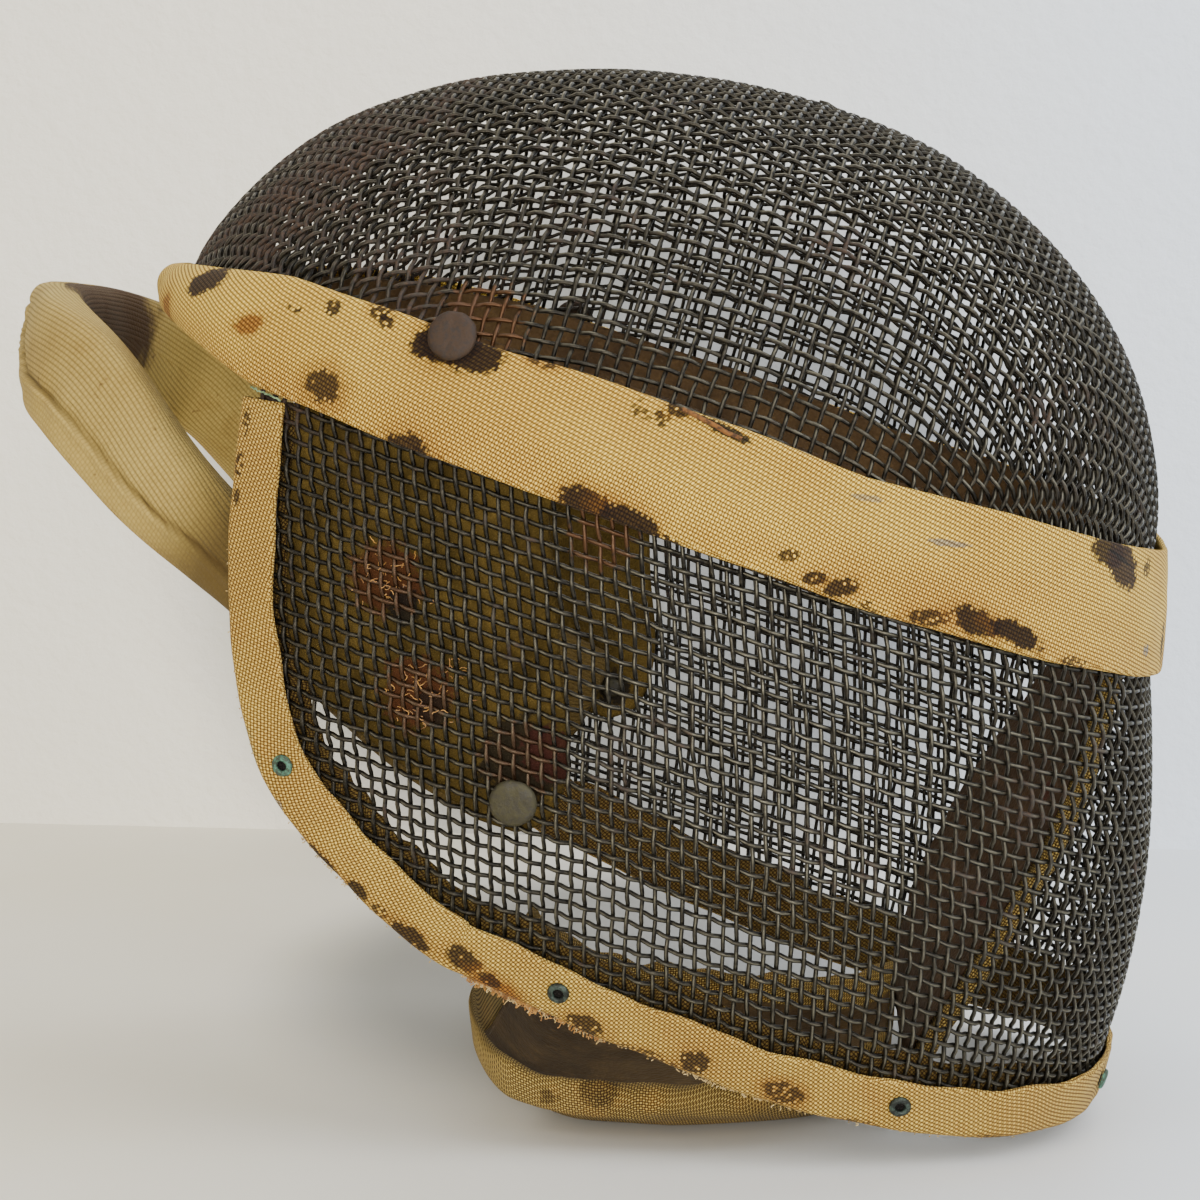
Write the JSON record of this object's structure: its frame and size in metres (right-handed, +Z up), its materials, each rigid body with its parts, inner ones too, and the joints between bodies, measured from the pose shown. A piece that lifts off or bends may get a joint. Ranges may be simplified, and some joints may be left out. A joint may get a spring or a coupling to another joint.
{
  "type": "fencing mask",
  "caption": "Old fencing mask of woven wire with a canvas brow band and edge binding, a padded neck strap and a leather-lined bib, lying nose down.",
  "frame": {"origin": "on the surface that the mask lies on, under the middle of its box", "axes": "+X forward, from the neck strap to the face; +Y to the wearer's left; +Z up from the surface"},
  "size_m": [0.2675, 0.1966, 0.2416],
  "materials": {
    "steel_wire": "darkened steel wire with patches of rust",
    "cream_canvas": "cream canvas gone yellow, with brown stains",
    "brown_leather": "dry brown leather",
    "rivet_steel": "dull steel, rusted",
    "eyelet_brass": "brass with verdigris"
  },
  "bodies": {
    "root": {"crown_mesh": "steel_wire", "face_mesh": "steel_wire", "brow_band": "cream_canvas", "inner_band": "brown_leather", "rim_binding": "cream_canvas", "neck_strap": "cream_canvas", "temple_pad_right": "brown_leather", "temple_pad_left": "brown_leather", "throat_bib": "cream_canvas", "bib_lining": "brown_leather", "chin_pad": "cream_canvas", "chin_pad_lining": "brown_leather", "upper_rivet_right": "rivet_steel", "upper_rivet_left": "rivet_steel", "lower_rivet_right": "rivet_steel", "lower_rivet_left": "rivet_steel", "eyelet_right_1": "eyelet_brass", "eyelet_left_1": "eyelet_brass", "eyelet_right_2": "eyelet_brass", "eyelet_left_2": "eyelet_brass", "eyelet_right_3": "eyelet_brass", "eyelet_left_3": "eyelet_brass", "eyelet_right_4": "eyelet_brass", "eyelet_left_4": "eyelet_brass"}
  },
  "joints": []
}
